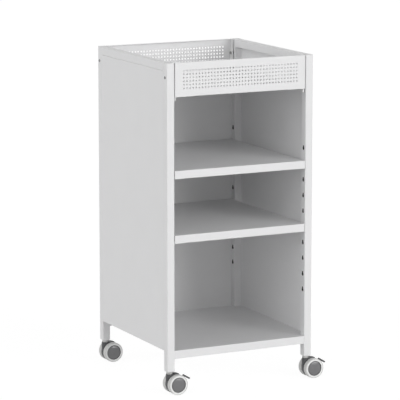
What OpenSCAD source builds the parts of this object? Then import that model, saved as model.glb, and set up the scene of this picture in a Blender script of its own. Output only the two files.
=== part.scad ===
// Mobile bookcase: a white sheet steel cabinet on four square posts, open at the front, with a
// perforated tray on top, two shelves that lift off clips in the slotted posts, a fixed bottom
// shelf and four swivelling twin-wheel castors, the front two with a brake pedal.
// The origin is on the floor under the middle of the four posts.
// +X points to the right, +Y to the back and +Z up. The open front is at -Y.

/* [Frame] */
// Width over the posts
frame_w = 400; // [320:1:560]
// Depth over the posts
frame_d = 400; // [320:1:560]
// Length of a post
post_len = 758; // [690:1:900]
// Side of the square post tube
post_size = 20; // [18:0.5:26]
// Wall of the post tube and of the top rails
post_wall = 1.5; // [1:0.1:2]
// Thickness of every sheet
sheet_t = 0.8; // [0.6:0.1:1.2]
// Height of the plug that closes the top of a post
cap_h = 8; // [4:1:20]
// Depth of the flanges that stiffen the side panels
panel_flange = 12; // [8:1:18]

/* [Tray] */
// Height of the perforated rim panels
rim_h = 83; // [70:1:100]
// Gap between a rim panel and the post beside it
rim_gap = 2; // [1:0.1:3]
// Depth of the folded ends of a rim panel
rim_end = 14; // [10:1:18]
// Depth of the hems along the top and bottom of a rim panel
rim_hem = 8; // [4:1:12]
// How far the bottom hem stops short of the ends of a rim panel, clear of the brackets
hem_setback = 48; // [40:1:60]
// How far the top hem stops short of the ends of a rim panel
top_hem_setback = 3; // [2:0.5:10]
// Rise from the foot of the rim panels to the top of the tray floor
tray_rise = 3; // [2:0.1:12]
// Diameter of a rim perforation
hole_d = 4.4; // [3:0.1:5]
// Distance between perforations along the rim
hole_pitch_x = 8.35; // [7:0.05:12]
// Distance between perforations up the rim
hole_pitch_z = 8.55; // [7:0.05:12]
// Least distance from the end of a rim panel to a row of perforations
hole_margin_x = 23; // [18:1:40]
// Least distance from the top or bottom of a rim panel to a row of perforations
hole_margin_z = 19.5; // [12:0.5:25]

/* [Shelves] */
// Height of the folded front and back edges of a shelf
shelf_lip = 20; // [16:0.5:30]
// Depth of the hem under the front and back edges of a lift-out shelf
shelf_hem = 8; // [4:1:12]
// Height of the folded side edges of a lift-out shelf
shelf_side = 14; // [8:1:16]
// Gap between a lift-out shelf and the posts
shelf_gap = 1; // [0.5:0.1:2]
// Gap between a lift-out shelf and the back panel
shelf_back_gap = 2; // [1:0.1:6]
// How far the side edges and hems of a shelf stop short of its corners
shelf_setback = 26; // [24:1:40]
// Index of the slot that carries the upper shelf, counted from 1 at the top
upper_slot_index = 2; // [2:1:3]
// Index of the slot that carries the lower shelf, counted from 1 at the top
lower_slot_index = 6; // [5:1:8]
// Rise from the foot of the posts to the top of the bottom shelf
bottom_rise = 50.4; // [43:0.1:60]

/* [Slots] */
// Drop from the top of the posts to the middle of the first keyhole slot
slot_first = 231.5; // [215:0.5:245]
// Distance from one keyhole slot to the next
slot_pitch = 39.7; // [34:0.1:45]
// Number of keyhole slots in a post
slot_count = 10; // [8:1:11]
// Height of a keyhole slot
slot_h = 12; // [10:0.5:14]
// Diameter of the round foot of a keyhole slot
slot_hole_d = 8.4; // [7.5:0.1:9.5]
// Width of the narrow top of a keyhole slot
slot_w = 6; // [5:0.1:7]

/* [Clips and screws] */
// Rise from the middle of a slot to the top of the shelf on its clips
shelf_rise = 8.5; // [8:0.1:11]
// Width of the ledge of a clip
clip_w = 11; // [9:0.5:13]
// Reach of the ledge of a clip under the shelf
clip_reach = 9; // [6:0.5:14]
// How far the peg of a clip reaches past the wall of the post
clip_tail = 3; // [2:0.5:6]
// Clearance round a clip in its slot
clip_gap = 0.2; // [0.1:0.05:0.4]
// Thickness of a tray bracket
bracket_t = 3; // [2:0.5:4]
// Width of a tray bracket
bracket_w = 11; // [9:0.5:12]
// Length of the foot of a tray bracket under the tray floor
bracket_foot = 20; // [10:1:30]
// How far a tray bracket shows below the rim panel
bracket_drop = 10; // [5:1:14]
// Drop from the top of the posts to the tray screws
screw_drop = 35.7; // [30:0.1:50]
// Thread diameter of a tray screw
screw_d = 4; // [3:0.5:5]
// Diameter of the head of a tray screw
screw_head_d = 7.6; // [6:0.1:8]
// Height of the head of a tray screw
screw_head_h = 1.4; // [1:0.1:2.5]
// Width across the flats of a nut
nut_af = 7; // [6.5:0.5:9]
// Height of a nut
nut_h = 3.2; // [2.4:0.1:4]
// Outer diameter of the spacer between a post and a rim panel
spacer_d = 8; // [7:0.5:10]

/* [Castors] */
// Height of the foot of a post above the floor
castor_h = 59; // [58:0.5:70]
// Diameter of a wheel over the tread
wheel_d = 50; // [46:0.5:52]
// Width of a wheel
wheel_w = 13; // [11:0.5:15]
// Diameter of the round cap on a wheel
cap_d = 38; // [32:0.5:40]
// How far the edge of the cap lies inside the face of the tyre
cap_recess = 1; // [0.5:0.1:2]
// Rise of the dome of the cap
cap_rise = 1.8; // [1:0.1:2.5]
// Rounding of the shoulders of the tyre
tyre_round = 1.5; // [1:0.1:3]
// Depth of the hollow in the inner face of a wheel
hub_hollow = 7; // [4:0.5:8]
// Wall left round the hollow of a wheel
hub_wall = 3; // [2:0.5:5]
// Diameter of the boss in the hollow of a wheel
boss_d = 13; // [11:0.5:15]
// Horizontal distance from the swivel axis to the wheel axle
trail = 16; // [12:0.5:18]
// Diameter of the axle
axle_d = 8; // [6:0.5:9]
// How far the axle stops short of the cap
axle_short = 3.5; // [3:0.5:6]
// Width of the housing between the wheels
housing_w = 13; // [11:0.5:16]
// Diameter of the round body of the housing
housing_d = 47; // [44:0.5:48]
// Diameter of the hood over the wheels
hood_d = 53; // [53:0.5:54]
// Angle at which the hood begins, from the horizontal behind the axle
hood_from = 72; // [60:1:80]
// Angle at which the hood ends
hood_to = 150; // [140:1:158]
// Diameter of the neck of the housing
neck_d = 18; // [14:0.5:20]
// Height of the foot of the neck above the floor
neck_foot = 33; // [30:0.5:38]
// Diameter of the stem
stem_d = 8; // [6:0.5:9]
// Length of the stem in its socket
stem_up = 34; // [20:1:40]
// Length of the stem in the housing
stem_down = 14; // [8:0.5:16]
// Diameter of the collar of the stem
collar_d = 16; // [12:0.5:18]
// Height of the collar of the stem
collar_h = 3.5; // [2:0.1:4]
// Length of the socket inside the post
socket_len = 38; // [30:1:60]
// Height of the square edge of the socket under the post
socket_edge = 1.2; // [0.5:0.1:2]
// Height of the tapered end of the socket
socket_taper = 3; // [1:0.1:3.5]
// Diameter of the lower end of the taper
socket_end_d = 15; // [13:0.5:17]

/* [Brake pedal] */
// Distance from the axle back to the pivot of the pedal
pivot_x = 12; // [10:0.5:13]
// Height of the pivot of the pedal above the axle
pivot_z = 14; // [13:0.5:15]
// Diameter of the pivot pin
pivot_d = 3; // [2:0.5:3.5]
// Diameter of the eye of the pedal round its pin
eye_d = 7; // [6:0.5:8]
// Slope of the pedal down from the horizontal
pedal_slope = 31; // [24:1:36]
// Thickness of the pedal
pedal_t = 4.2; // [3:0.1:4.5]
// Width of the tread of the pedal
pedal_w = 12; // [9:0.5:13]
// Width of the arm of the pedal inside the housing
arm_w = 5; // [4:0.5:6]
// Distance along the pedal from its pivot to the start of its tread
pedal_from = 7; // [6:0.5:9]
// Distance along the pedal from its pivot to its tip
pedal_to = 24; // [20:0.5:28]
// How far the middle of the pedal lies above its pivot
pedal_lift = 9.2; // [8.5:0.1:10]
// How far the pedal turns when it is pressed
pedal_press = 8; // [5:0.5:10]

/* [Clearances] */
// Radial clearance of a shaft that turns in a hole
running_gap = 0.05; // [0.02:0.01:0.1]
// Clearance between faces that lie close without turning on each other
seat_gap = 0.3; // [0.2:0.05:0.5]
// Radial clearance of a part that is fitted in another
fit_gap = 0.05; // [0.02:0.01:0.1]
// Clearance between a wheel and the housing
wheel_gap = 0.75; // [0.5:0.05:1.5]
// Radial clearance of a screw in its holes
screw_gap = 0.25; // [0.15:0.05:0.5]

/* [Hidden] */
$fn = 64;
// A cut runs this far past the face it opens
over = 1;
half_w = frame_w / 2;
half_d = frame_d / 2;
post_x = half_w - post_size / 2;
post_y = half_d - post_size / 2;
inner_w = frame_w - 2 * post_size;
inner_d = frame_d - 2 * post_size;
post_top = castor_h + post_len;
bore_side = post_size - 2 * post_wall;
// The tray
rim_len = inner_w - 2 * rim_gap;
rim_end_x = rim_len / 2;
hem_x = rim_end_x - hem_setback;
top_hem_x = rim_end_x - top_hem_setback;
tray_z = post_top - rim_h + tray_rise;
bracket_x = rim_end_x - sheet_t - bracket_t;
bracket_y = post_y - bracket_w / 2;
screw_z = post_top - screw_drop;
hole_cols = floor((rim_len - 2 * hole_margin_x) / hole_pitch_x) + 1;
hole_rows = floor((rim_h - 2 * hole_margin_z) / hole_pitch_z) + 1;
// The floor of the tray is cut back at its corners round the posts, brackets and panel flanges
tray_notch_x = half_w - bracket_x + seat_gap;
tray_notch_y = post_size + sheet_t + seat_gap;
// The shelves
shelf_w = inner_w - 2 * shelf_gap;
shelf_back = half_d - sheet_t - shelf_back_gap;
shelf_len = shelf_back + half_d;
bottom_z = castor_h + bottom_rise;
// The foot of a keyhole slot lies this far below the middle of the slot
slot_foot = slot_h / 2 - slot_hole_d / 2;
slot_d_half = slot_w / 2;
// The castors
wheel_r = wheel_d / 2;
cap_r = cap_d / 2 - fit_gap;
dome_r = (cap_r * cap_r + cap_rise * cap_rise) / (2 * cap_rise);
wheel_y = housing_w / 2 + wheel_gap;
axle_half = wheel_y + wheel_w - axle_short;
socket_bottom = castor_h - socket_edge - socket_taper;
collar_top = socket_bottom - seat_gap;
neck_top = collar_top - collar_h;

// Corners of the frame: name, direction along X, direction along Y
CORNERS = [["fl", -1, -1], ["fr", 1, -1], ["bl", -1, 1], ["br", 1, 1]];
POSTS = ["post_front_left", "post_front_right", "post_back_left", "post_back_right"];
// Wheels of a castor: name, direction along Y
WHEELS = [["front", -1], ["back", 1]];

// Height of the middle of keyhole slot number i, counted from 1 at the top
function slot_z(i) = post_top - slot_first - (i - 1) * slot_pitch;
// Height of the top of a shelf on the clips in slot number i
function shelf_z(i) = slot_z(i) + shelf_rise;

// A block with its lowest and highest corners at a and b
module block(a, b) {
    translate(a) cube(b - a);
}

// Copies of a piece at the two ends of X
module both_x() {
    children();
    mirror([1, 0, 0]) children();
}

// Copies of a piece at the four corners of the frame
module four_corners() {
    both_x() {
        children();
        mirror([0, 1, 0]) children();
    }
}

// A cylinder along X that starts at x and has length len
module rod_x(r, x, len) {
    translate([x, 0, 0]) rotate([0, 90, 0]) cylinder(r = r, h = len);
}

// A cylinder along Y, centred on the origin
module rod_y(r, len) {
    rotate([90, 0, 0]) cylinder(r = r, h = len, center = true);
}

// The outline of a keyhole slot, run through the wall at the inner side of a post at +X
module keyhole_cut() {
    x = -post_size / 2 - over;
    len = post_wall + 2 * over;
    translate([0, 0, -slot_foot]) rod_x(slot_hole_d / 2, x, len);
    translate([0, 0, slot_h / 2 - slot_d_half]) rod_x(slot_d_half, x, len);
    block(
        [x, -slot_d_half, -slot_foot],
        [x + len, slot_d_half, slot_h / 2 - slot_d_half]
    );
}

// A post at +X, with its keyhole slots facing -X
module post_form() {
    difference() {
        block(
            [-post_size / 2, -post_size / 2, castor_h],
            [post_size / 2, post_size / 2, post_top]
        );
        block(
            [-bore_side / 2, -bore_side / 2, castor_h - over],
            [bore_side / 2, bore_side / 2, post_top + over]
        );
        for (i = [1:slot_count]) {
            translate([0, 0, slot_z(i)]) keyhole_cut();
        }
        translate([0, 0, screw_z])
            rod_x(screw_d / 2 + screw_gap, -post_size / 2 - over, post_size + 2 * over);
    }
}

module post(sx, sy) {
    color("whitesmoke") translate([sx * post_x, sy * post_y, 0])
        mirror([sx < 0 ? 1 : 0, 0, 0]) post_form();
}

// Plugs that close the tops of the posts
module post_caps() {
    side = bore_side / 2 - fit_gap;
    color("white") four_corners() translate([post_x, post_y, post_top])
        block([-side, -side, -cap_h], [side, side, 0]);
}

// Plastic sockets in the feet of the posts, bored for the castor stems
module foot_sockets() {
    side = bore_side / 2 - fit_gap;
    edge = post_size / 2 - seat_gap;
    color("white") four_corners() translate([post_x, post_y, 0]) difference() {
        union() {
            block([-side, -side, castor_h], [side, side, castor_h + socket_len]);
            block([-edge, -edge, castor_h - socket_edge], [edge, edge, castor_h]);
            translate([0, 0, socket_bottom])
                cylinder(d1 = socket_end_d, d2 = 2 * edge, h = socket_taper);
        }
        translate([0, 0, socket_bottom - over])
            cylinder(r = stem_d / 2 + running_gap, h = castor_h - socket_bottom + stem_up + over);
    }
}

// Square tube along the top of each side, between the posts
module top_rail(sx) {
    color("whitesmoke") difference() {
        translate([sx * post_x, 0, post_top - post_size / 2])
            cube([post_size, inner_d, post_size], center = true);
        translate([sx * post_x, 0, post_top - post_size / 2])
            cube([bore_side, inner_d + 2 * over, bore_side], center = true);
    }
}

// Sheet between the posts of one side, flanged against the posts and under the top rail
module side_panel(sx) {
    top = post_top - post_size;
    foot = bottom_z - sheet_t;
    out = half_w;
    skin = half_w - sheet_t;
    in = half_w - panel_flange;
    color("gainsboro") mirror([sx < 0 ? 1 : 0, 0, 0]) {
        block([skin, -inner_d / 2, foot], [out, inner_d / 2, top]);
        block([in, -inner_d / 2, top - sheet_t], [skin, inner_d / 2, top]);
        for (m = [0, 1]) mirror([0, m, 0])
            block([in, inner_d / 2 - sheet_t, bottom_z], [skin, inner_d / 2, top - sheet_t]);
    }
}

// Sheet welded between the back posts, from the bottom shelf up to the rim panel
module back_panel() {
    top = post_top - rim_h - seat_gap;
    color("whitesmoke")
        block([-inner_w / 2, half_d - sheet_t, bottom_z], [inner_w / 2, half_d, top]);
}

// Perforated rim panel at the front, with folded ends against the brackets and hemmed edges
module rim_panel_form() {
    foot = post_top - rim_h;
    difference() {
        block([-rim_end_x, -half_d, foot], [rim_end_x, -half_d + sheet_t, post_top]);
        translate([0, -half_d + sheet_t / 2, (foot + post_top) / 2])
            for (i = [0:hole_cols - 1]) for (j = [0:hole_rows - 1])
                translate([
                    (i - (hole_cols - 1) / 2) * hole_pitch_x,
                    0,
                    (j - (hole_rows - 1) / 2) * hole_pitch_z
                ]) rod_y(hole_d / 2, sheet_t + 2 * over, $fn = 16);
    }
    both_x() difference() {
        block(
            [rim_end_x - sheet_t, -half_d + sheet_t, foot],
            [rim_end_x, -half_d + rim_end, post_top]
        );
        translate([0, -post_y, screw_z])
            rod_x(screw_d / 2 + screw_gap, rim_end_x - sheet_t - over, sheet_t + 2 * over);
    }
    for (hem = [[hem_x, foot], [top_hem_x, post_top - sheet_t]]) block(
        [-hem[0], -half_d + sheet_t, hem[1]],
        [hem[0], -half_d + rim_hem, hem[1] + sheet_t]
    );
}

module rim_panel(sy) {
    color("whitesmoke") mirror([0, sy > 0 ? 1 : 0, 0]) rim_panel_form();
}

// Floor of the tray, notched round the posts and resting on the feet of the brackets
module tray_floor() {
    reach_x = half_w - sheet_t - seat_gap;
    reach_y = half_d - sheet_t - seat_gap;
    color("whitesmoke") difference() {
        block([-reach_x, -reach_y, tray_z - sheet_t], [reach_x, reach_y, tray_z]);
        four_corners() block(
            [half_w - tray_notch_x, half_d - tray_notch_y, tray_z - sheet_t - over],
            [half_w, half_d, tray_z + over]
        );
    }
}

// Bottom shelf: a sheet from side panel to side panel with a folded edge between the posts
module bottom_shelf() {
    reach_x = half_w - sheet_t;
    color("whitesmoke") {
        difference() {
            block([-reach_x, -half_d, bottom_z - sheet_t], [reach_x, half_d, bottom_z]);
            four_corners() block(
                [half_w - post_size, half_d - post_size, bottom_z - sheet_t - over],
                [half_w, half_d, bottom_z + over]
            );
        }
        for (m = [0, 1]) mirror([0, m, 0]) block(
            [-inner_w / 2, half_d - sheet_t, bottom_z - shelf_lip],
            [inner_w / 2, half_d, bottom_z - sheet_t]
        );
    }
}

// Corner brackets: a leg screwed to the post through the rim panel, and a foot under the tray
module tray_brackets() {
    top = screw_z + bracket_w;
    foot_top = tray_z - sheet_t;
    low = post_top - rim_h - bracket_drop;
    color("white") four_corners() difference() {
        union() {
            block([bracket_x, bracket_y, low], [bracket_x + bracket_t, bracket_y + bracket_w, top]);
            block(
                [bracket_x - bracket_foot, bracket_y, foot_top - bracket_t],
                [bracket_x, bracket_y + bracket_w, foot_top]
            );
        }
        translate([0, post_y, screw_z])
            rod_x(screw_d / 2 + screw_gap, bracket_x - over, bracket_t + 2 * over);
    }
}

// Screws through the posts from the sides, which hold the rim panels and the brackets
module tray_screws() {
    tip = bracket_x - nut_h - over;
    color("dimgray") four_corners() translate([0, post_y, screw_z]) {
        rod_x(screw_d / 2, tip, half_w - tip);
        rod_x(screw_head_d / 2, half_w, screw_head_h);
    }
}

// Nuts on the inner ends of the screws
module tray_nuts() {
    color("silver") four_corners() translate([bracket_x - nut_h, post_y, screw_z])
        rotate([0, 90, 0]) difference() {
            cylinder(d = nut_af / cos(30), h = nut_h, $fn = 6);
            translate([0, 0, -over]) cylinder(r = screw_d / 2 + fit_gap, h = nut_h + 2 * over);
        }
}

// Spacer rings between the posts and the ends of the rim panels
module tray_spacers() {
    color("dimgray") four_corners() translate([rim_end_x, post_y, screw_z])
        rotate([0, 90, 0]) difference() {
            cylinder(d = spacer_d, h = rim_gap);
            translate([0, 0, -over]) cylinder(r = screw_d / 2 + screw_gap, h = rim_gap + 2 * over);
        }
}

// Clips that hook into one keyhole slot of each post and carry a shelf on their ledges
module shelf_clips(slot) {
    face = half_w - post_size;
    peg_r = slot_hole_d / 2 - clip_gap;
    tongue = slot_d_half - clip_gap;
    ledge_top = shelf_rise - sheet_t - seat_gap;
    color("silver") four_corners() translate([0, post_y, slot_z(slot)]) {
        translate([0, 0, -slot_foot]) rod_x(peg_r, face, post_wall + clip_tail);
        block(
            [face, -tongue, -slot_foot],
            [face + post_wall + clip_tail, tongue, slot_h / 2 - slot_d_half]
        );
        block([face - clip_reach, -clip_w / 2, -slot_foot - peg_r], [face, clip_w / 2, ledge_top]);
    }
}

// Lift-out shelf: a sheet with deep folded edges at the front and back and shallow ones at the sides
module shelf(slot) {
    top = shelf_z(slot);
    under = top - sheet_t;
    low = top - shelf_lip;
    hw = shelf_w / 2;
    back = -half_d + shelf_len;
    color("whitesmoke") {
        block([-hw, -half_d, under], [hw, back, top]);
        block([-hw, -half_d, low], [hw, -half_d + sheet_t, under]);
        block([-hw, back - sheet_t, low], [hw, back, under]);
        for (y = [-half_d + sheet_t, back - shelf_hem]) block(
            [-hw + shelf_setback, y, low],
            [hw - shelf_setback, y + shelf_hem - sheet_t, low + sheet_t]
        );
        both_x() block(
            [hw - sheet_t, -half_d + shelf_setback, top - shelf_side],
            [hw, back - shelf_setback, under]
        );
    }
}

// Places a castor piece, drawn round its swivel axis, under one corner of the frame
module at_corner(c) {
    translate([c[1] * post_x, c[2] * post_y, 0]) children();
}

// Places a piece drawn round the wheel axle of a castor
module at_axle() {
    translate([trail, 0, wheel_r]) children();
}

// Steel stem: a pin that turns in its socket, with a collar that rests on the neck
module stem() {
    color("darkgray") {
        translate([0, 0, neck_top - stem_down])
            cylinder(d = stem_d, h = stem_down + collar_h + stem_up);
        translate([0, 0, neck_top]) cylinder(d = collar_d, h = collar_h);
    }
}

// The part of a round body along Y that lies between two angles round the axle
module sector(r, w, from, to) {
    far = 2 * r;
    mid = (from + to) / 2;
    intersection() {
        rod_y(r, w);
        rotate([90, 0, 0]) linear_extrude(w + 2 * over, center = true) polygon([
            [0, 0],
            [far * cos(from), far * sin(from)],
            [far * cos(mid), far * sin(mid)],
            [far * cos(to), far * sin(to)]
        ]);
    }
}

// Housing between the wheels: a round body with a hood and a neck for the stem
module housing(braked) {
    color("dimgray") difference() {
        union() {
            at_axle() rod_y(housing_d / 2, housing_w);
            at_axle() sector(hood_d / 2, housing_w, hood_from, hood_to);
            difference() {
                translate([0, 0, neck_foot]) cylinder(d = neck_d, h = neck_top - neck_foot);
                for (s = [-1, 1]) translate([trail, s * (housing_w + neck_d) / 2, wheel_r])
                    rod_y(hood_d / 2, neck_d);
            }
        }
        translate([0, 0, neck_top - stem_down])
            cylinder(r = stem_d / 2 + fit_gap, h = stem_down + over);
        at_axle() rod_y(axle_d / 2 + fit_gap, housing_w + 2 * over);
        if (braked) at_axle() brake_cut();
    }
}

// Room for the pedal: a slot for its arm and the hole for its pin
module brake_cut() {
    reach = housing_d;
    translate([pivot_x, 0, pivot_z]) {
        rod_y(pivot_d / 2 + fit_gap, housing_w + 2 * over);
        rotate([90, 0, 0]) linear_extrude(arm_w + 2 * seat_gap, center = true) {
            circle(r = eye_d / 2 + seat_gap);
            rotate(-pedal_slope - pedal_press)
                translate([-eye_d / 2, -seat_gap]) square([reach, reach / 2]);
        }
    }
}

// Axle through the housing into both wheels
module axle() {
    color("silver") at_axle() rod_y(axle_d / 2, 2 * axle_half);
}

// Places a wheel piece, drawn from its inner face outwards along +Z, on one side of a castor
module at_wheel(s) {
    at_axle() translate([0, s * wheel_y, 0]) rotate([-90 * s, 0, 0]) children();
}

// Hub of a wheel with its domed cap, hollow on the inner side round a bored boss
module hub() {
    edge_z = wheel_w - cap_recess;
    color("gray") difference() {
        union() {
            cylinder(r = cap_r, h = edge_z);
            intersection() {
                translate([0, 0, edge_z + cap_rise - dome_r]) sphere(r = dome_r);
                translate([0, 0, edge_z - over]) cylinder(r = cap_r, h = cap_rise + 2 * over);
            }
        }
        difference() {
            translate([0, 0, -over]) cylinder(r = cap_r - hub_wall, h = hub_hollow + over);
            translate([0, 0, -2 * over]) cylinder(d = boss_d, h = hub_hollow + 3 * over);
        }
        translate([0, 0, -over])
            cylinder(r = axle_d / 2 + running_gap, h = wheel_w - axle_short + seat_gap + over);
    }
}

// Tyre with rounded shoulders round the hub
module tyre() {
    inner_r = cap_d / 2;
    color("white") rotate_extrude($fn = 96) {
        translate([inner_r, 0]) square([wheel_r - tyre_round - inner_r, wheel_w]);
        translate([inner_r, tyre_round]) square([wheel_r - inner_r, wheel_w - 2 * tyre_round]);
        for (z = [tyre_round, wheel_w - tyre_round])
            translate([wheel_r - tyre_round, z]) circle(r = tyre_round, $fn = 32);
    }
}

// Brake pedal: an eye on the pin, a narrow arm that rises out of the housing and a wide tread
module brake_pedal() {
    color("dimgray") at_axle() translate([pivot_x, 0, pivot_z]) difference() {
        rotate([90, 0, 0]) {
            linear_extrude(arm_w, center = true) {
                circle(r = eye_d / 2);
                rotate(-pedal_slope) polygon([
                    [0, 0],
                    [pedal_from, 0],
                    [pedal_from + pedal_t, pedal_lift],
                    [pedal_from, pedal_lift]
                ]);
            }
            linear_extrude(pedal_w, center = true) rotate(-pedal_slope) {
                translate([pedal_from, pedal_lift - pedal_t / 2])
                    square([pedal_to - pedal_from - pedal_t / 2, pedal_t]);
                translate([pedal_to - pedal_t / 2, pedal_lift]) circle(r = pedal_t / 2);
            }
        }
        rod_y(pivot_d / 2 + running_gap, arm_w + 2 * over);
    }
}

// Pin that holds the pedal in the housing
module pedal_pin() {
    color("silver") at_axle() translate([pivot_x, 0, pivot_z]) rod_y(pivot_d / 2, housing_w - 2 * fit_gap);
}

for (i = [0:3]) {
    post(CORNERS[i][1], CORNERS[i][2]);
}
post_caps();
foot_sockets();
top_rail(-1);  // top_rail_left
top_rail(1);  // top_rail_right
side_panel(-1);  // side_panel_left
side_panel(1);  // side_panel_right
back_panel();
rim_panel(-1);  // rim_panel_front
rim_panel(1);  // rim_panel_back
tray_floor();
bottom_shelf();
tray_brackets();
tray_screws();
tray_nuts();
tray_spacers();
shelf_clips(upper_slot_index);  // shelf_clips_upper
shelf_clips(lower_slot_index);  // shelf_clips_lower
shelf(upper_slot_index);  // shelf_upper
shelf(lower_slot_index);  // shelf_lower
for (c = CORNERS) {
    at_corner(c) stem();
    at_corner(c) housing(c[2] < 0);
    at_corner(c) axle();
    for (w = WHEELS) {
        at_corner(c) at_wheel(w[1]) hub();
        at_corner(c) at_wheel(w[1]) tyre();
    }
    if (c[2] < 0) {
        at_corner(c) brake_pedal();
        at_corner(c) pedal_pin();
    }
}
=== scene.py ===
from math import asin, cos, degrees, pi, radians, sin, sqrt, tan

import bmesh
import bpy
from mathutils import Matrix, Vector


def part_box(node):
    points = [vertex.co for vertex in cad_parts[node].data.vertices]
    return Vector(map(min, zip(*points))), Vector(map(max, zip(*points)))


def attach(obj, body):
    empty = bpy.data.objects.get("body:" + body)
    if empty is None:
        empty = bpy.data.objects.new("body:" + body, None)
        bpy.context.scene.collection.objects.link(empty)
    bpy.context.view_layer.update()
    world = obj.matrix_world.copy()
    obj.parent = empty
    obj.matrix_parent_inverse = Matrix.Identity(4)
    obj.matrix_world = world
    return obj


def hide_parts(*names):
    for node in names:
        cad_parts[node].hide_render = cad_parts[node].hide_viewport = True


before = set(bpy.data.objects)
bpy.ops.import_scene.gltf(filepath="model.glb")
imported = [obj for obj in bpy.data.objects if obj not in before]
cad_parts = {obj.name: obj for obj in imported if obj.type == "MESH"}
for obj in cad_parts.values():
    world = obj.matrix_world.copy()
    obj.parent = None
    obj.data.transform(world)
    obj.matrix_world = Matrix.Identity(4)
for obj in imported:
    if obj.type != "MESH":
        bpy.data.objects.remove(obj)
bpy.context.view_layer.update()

# Sizes are in metres. MM turns a size written in millimetres into metres.
MM = 0.001
# Points nearer to each other than this become one
WELD = 0.002 * MM
SHEET = 0.8 * MM
# Outer radius of a bend in the sheet, and the facets of a quarter bend
FOLD = 1.3 * MM
FOLD_STEPS = 4
# Rounding of a flat sheet's outline
SHEET_CORNER = MM
# Softening of the cut edges of the sheets and of the moulded pieces
CUT_EDGE = 0.2 * MM
MOULDED_EDGE = 0.5 * MM
# Least angles, in degrees, of a corner that is rounded, an edge softened and one shaded sharp
ROUND_FROM = 20
SOFTEN_FROM = 50
SHARP_FROM = 38
# The gaps round a piece inside another and beside one
PLAY = 0.05 * MM
SEAT_GAP = 0.3 * MM
# How far a cutter passes the surface that it cuts
OVERSHOOT = MM
# Facets of round pieces
ROUND_FACETS = 96
SMALL_ROUND_FACETS = 48
NUT_FACETS = 36
SCREW_FACETS = 32
SCREW_HOLE_FACETS = 24

TUBE = 20 * MM
TUBE_WALL = 1.5 * MM
TUBE_CORNER = 1.8 * MM
TUBE_INNER_CORNER = 0.5 * MM

# Keyhole slots of a post, from its top down
SLOT_FIRST = 231.5 * MM
SLOT_PITCH = 39.7 * MM
SLOT_COUNT = 10
SLOT_HEIGHT = 12 * MM
SLOT_FOOT_RADIUS = 4.2 * MM
SLOT_FOOT_FACETS = 20
SLOT_TOP_RADIUS = 3 * MM
SLOT_TOP_FACETS = 10

# Tray screws and brackets
SCREW_DROP = 35.7 * MM
SCREW_RADIUS = 2 * MM
SCREW_HOLE_RADIUS = 2.25 * MM
BRACKET_THICKNESS = 3 * MM

# Perforated field of a rim panel
HOLE_RADIUS = 2.2 * MM
HOLE_PITCH = Vector((8.35, 8.55)) * MM
HOLE_COLUMNS = 38
HOLE_ROWS = 6
HOLE_SIDES = 16

# Folded edges
RIM_HEM = 8 * MM
FOOT_HEM_SETBACK = 48 * MM
TOP_HEM_SETBACK = 3 * MM
SHELF_HEM = 8 * MM
SHELF_SIDE = 14 * MM
SHELF_SETBACK = 26 * MM

# Castors. The hood's angles are in degrees above the front.
BODY_RADIUS = 23.5 * MM
HOOD_RADIUS = 26.5 * MM
HOOD_FROM = 72
HOOD_TO = 150
HOUSING_WIDTH = 13 * MM
HOUSING_EDGE = 0.8 * MM
NECK_RADIUS = 9 * MM
NECK_FOOT = 33 * MM
COLLAR_FOOT = 51 * MM
BORE_RADIUS = 4.05 * MM
SHOULDER = 1.5 * MM

# Brake pedals. PIVOT is seen from the axle. The tread lies over a line that slopes down from it.
PIVOT = Vector((12, 0, 14)) * MM
PIVOT_RADIUS = 1.5 * MM
EYE_RADIUS = 3.5 * MM
ARM_WIDTH = 5 * MM
TREAD_WIDTH = 12 * MM
PEDAL_SLOPE = 31
PEDAL_PRESS = 8
PEDAL_FROM = 7 * MM
PEDAL_TO = 24 * MM
PEDAL_LIFT = 9.2 * MM
PEDAL_THICKNESS = 4.2 * MM

# The camera as fitted to the photograph, its angles in degrees
CAMERA_PLACE = (-2.8036, -5.5892, 1.5553)
CAMERA_LENS = 226.84
CAMERA_TILT = 10.134
CAMERA_BEARING = 26.546

# The room's light at eye level, and the floor. Its glow keeps it white round the shadow.
ROOM_LIGHT = 0.84
FLOOR_REACH = 20
FLOOR_TONE = 0.8
FLOOR_GLOW = 1.15
FLOOR_GLOW_SHARE = 0.8

# The signs of X and Y at each corner, and the post that stands there
CORNERS = {"fl": (-1, -1), "fr": (1, -1), "bl": (-1, 1), "br": (1, 1)}
POSTS = {"fl": "post_front_left", "fr": "post_front_right",
         "bl": "post_back_left", "br": "post_back_right"}


class Wire:
    """An output in a node tree, on which Python's arithmetic adds Math nodes."""

    def __init__(self, tree, socket):
        self.tree = tree
        self.socket = socket

    def maths(self, operation, first, second):
        return self.tree.add("ShaderNodeMath", {"operation": operation}, {0: first, 1: second})

    def __add__(self, other):
        return self.maths("ADD", self, other)

    def __rsub__(self, other):
        return self.maths("SUBTRACT", other, self)

    def __mul__(self, other):
        return self.maths("MULTIPLY", self, other)


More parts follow.
